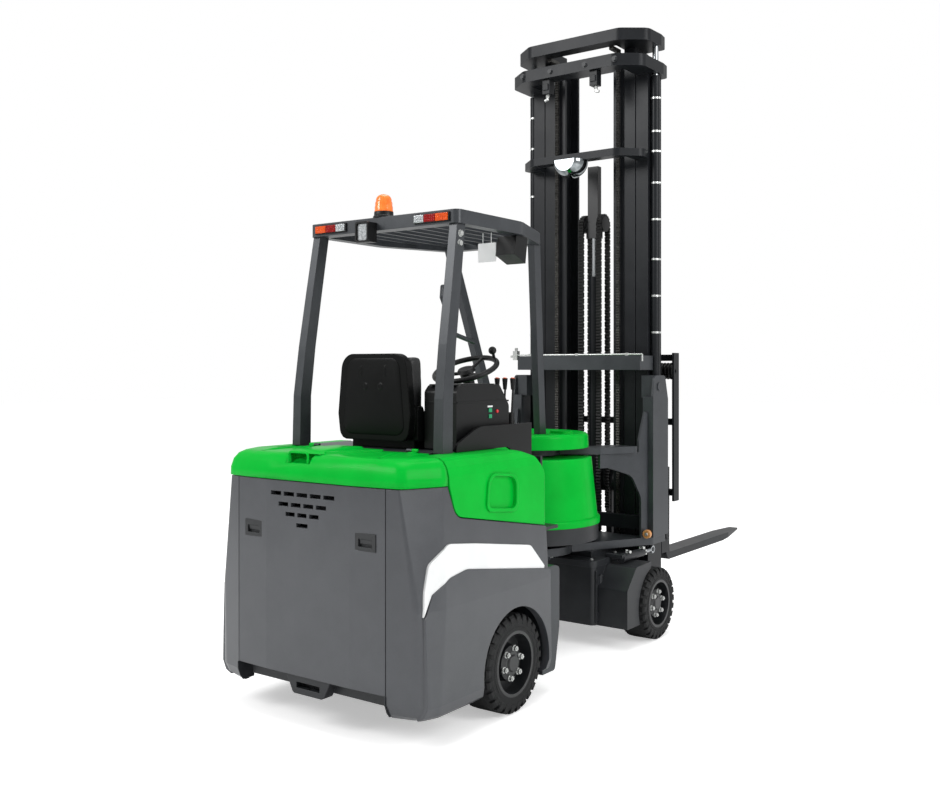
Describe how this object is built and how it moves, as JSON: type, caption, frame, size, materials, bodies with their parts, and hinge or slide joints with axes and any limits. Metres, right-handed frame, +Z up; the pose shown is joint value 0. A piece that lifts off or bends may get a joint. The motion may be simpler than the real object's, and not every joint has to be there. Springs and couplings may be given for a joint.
{
  "type": "articulated electric forklift",
  "caption": "Articulated electric forklift with overhead guard, triplex mast, fork carriage and side shift",
  "frame": {"origin": "on the ground, at the middle of the whole machine's length and width", "axes": "+X is the driver's right, +Y is forward (the forks point that way), +Z is up"},
  "size_m": [1.26, 4.0768, 3.566],
  "materials": {
    "frame_paint": "satin",
    "grey_panel": "metallic",
    "green_panel": "gloss",
    "guard_paint": "satin",
    "mast_paint": "satin",
    "rod_chrome": "polished",
    "chain_steel": "oiled",
    "black_plastic": "matte",
    "seat_fabric": "matte",
    "battery_case": "matte",
    "amber_lens": "gloss",
    "white_trim": "gloss",
    "mirror_glass": "polished",
    "solid_tyre": "matte",
    "rim_paint": "satin"
  },
  "bodies": {
    "rear_chassis": {"battery": "battery_case", "beacon": "amber_lens", "console": "black_plastic", "controls": "black_plastic", "deck": "guard_paint", "fender_flashes": "white_trim", "fenders": "grey_panel", "grab_handle": "guard_paint", "guard_pillars": "guard_paint", "lamps": "black_plastic", "nose_base": "frame_paint", "nose_cap": "green_panel", "nose_cover": "green_panel", "overhead_guard": "guard_paint", "rear_axle": "frame_paint", "rear_cover": "grey_panel", "rear_frame": "frame_paint", "seat_cushions": "seat_fabric", "seat_shell": "black_plastic", "side_panels": "green_panel", "steering_column": "black_plastic", "steps": "guard_paint"},
    "hood_lid": {"hood": "green_panel"},
    "hand_wheel": {"steering_wheel": "black_plastic"},
    "wheel_rear_left": {"rear_left_rim": "rim_paint", "rear_left_tyre": "solid_tyre"},
    "wheel_rear_right": {"rear_right_rim": "rim_paint", "rear_right_tyre": "solid_tyre"},
    "wheel_front_left": {"front_left_rim": "rim_paint", "front_left_tyre": "solid_tyre"},
    "wheel_front_right": {"front_right_rim": "rim_paint", "front_right_tyre": "solid_tyre"},
    "front_unit": {"axle_box": "frame_paint", "columns": "guard_paint", "swing_arm": "guard_paint", "turn_plate": "frame_paint", "tilt_barrels": "frame_paint"},
    "tilt_pistons": {"tilt_rods": "rod_chrome"},
    "mast_outer": {"outer_mast": "mast_paint", "crossbar": "guard_paint", "lift_barrels": "mast_paint", "dome_mirror": "mirror_glass"},
    "mast_middle": {"middle_mast": "mast_paint", "lift_rods": "rod_chrome", "lift_chains": "chain_steel"},
    "mast_inner": {"inner_mast": "mast_paint"},
    "free_piston": {"crosshead": "mast_paint", "free_lift_chains": "chain_steel"},
    "fork_carriage": {"carriage": "mast_paint"},
    "side_shifter": {"shift_frame": "mast_paint"},
    "left_fork": {"fork_left": "mast_paint"},
    "right_fork": {"fork_right": "mast_paint"}
  },
  "joints": [
    {"name": "articulation", "type": "hinge", "parent": "rear_chassis", "child": "front_unit", "pos_m": [0, -0.255, 0.8], "axis": [0, 0, 1], "range_deg": [-90, 90]},
    {"name": "rear_left_wheel", "type": "hinge", "parent": "rear_chassis", "child": "wheel_rear_left", "pos_m": [-0.527, -1.335, 0.223], "axis": [1, 0, 0], "continuous": true},
    {"name": "rear_right_wheel", "type": "hinge", "parent": "rear_chassis", "child": "wheel_rear_right", "pos_m": [0.527, -1.335, 0.223], "axis": [1, 0, 0], "continuous": true},
    {"name": "front_left_wheel", "type": "hinge", "parent": "front_unit", "child": "wheel_front_left", "pos_m": [-0.5, 0.212, 0.204], "axis": [1, 0, 0], "continuous": true},
    {"name": "front_right_wheel", "type": "hinge", "parent": "front_unit", "child": "wheel_front_right", "pos_m": [0.5, 0.212, 0.204], "axis": [1, 0, 0], "continuous": true},
    {"name": "steering", "type": "hinge", "parent": "rear_chassis", "child": "hand_wheel", "pos_m": [0.02, -0.905, 1.548], "axis": [0, -0.3746, 0.9272], "continuous": true},
    {"name": "hood_lid", "type": "hinge", "parent": "rear_chassis", "child": "hood_lid", "pos_m": [0, -1.68125, 1.191], "axis": [-1, 0, 0], "range_deg": [0, 65]},
    {"name": "mast_tilt", "type": "hinge", "parent": "front_unit", "child": "mast_outer", "pos_m": [0, 0.383, 1.446], "axis": [1, 0, 0], "range_deg": [-2, 3]},
    {"name": "tilt_pistons", "type": "slide", "parent": "front_unit", "child": "tilt_pistons", "axis": [0, 1, 0], "range_m": [-0.036, 0.053]},
    {"name": "middle_lift", "type": "slide", "parent": "mast_outer", "child": "mast_middle", "axis": [0, 0, 1], "range_m": [0, 2.6]},
    {"name": "inner_lift", "type": "slide", "parent": "mast_middle", "child": "mast_inner", "axis": [0, 0, 1], "range_m": [0, 2.6]},
    {"name": "carriage_lift", "type": "slide", "parent": "mast_inner", "child": "fork_carriage", "axis": [0, 0, 1], "range_m": [-0.33, 1.05]},
    {"name": "crosshead_lift", "type": "slide", "parent": "mast_inner", "child": "free_piston", "axis": [0, 0, 1], "range_m": [-0.165, 0.525]},
    {"name": "side_shift", "type": "slide", "parent": "fork_carriage", "child": "side_shifter", "axis": [1, 0, 0], "range_m": [-0.08, 0.08]},
    {"name": "left_fork_spacing", "type": "slide", "parent": "side_shifter", "child": "left_fork", "axis": [1, 0, 0], "range_m": [-0.05, 0.2]},
    {"name": "right_fork_spacing", "type": "slide", "parent": "side_shifter", "child": "right_fork", "axis": [1, 0, 0], "range_m": [-0.2, 0.05]}
  ],
  "couplings": [
    {"joint": "tilt_pistons", "follows": "mast_tilt", "m_per_rad": 0.968},
    {"joint": "inner_lift", "follows": "middle_lift", "ratio": 1},
    {"joint": "crosshead_lift", "follows": "carriage_lift", "ratio": 0.5}
  ]
}
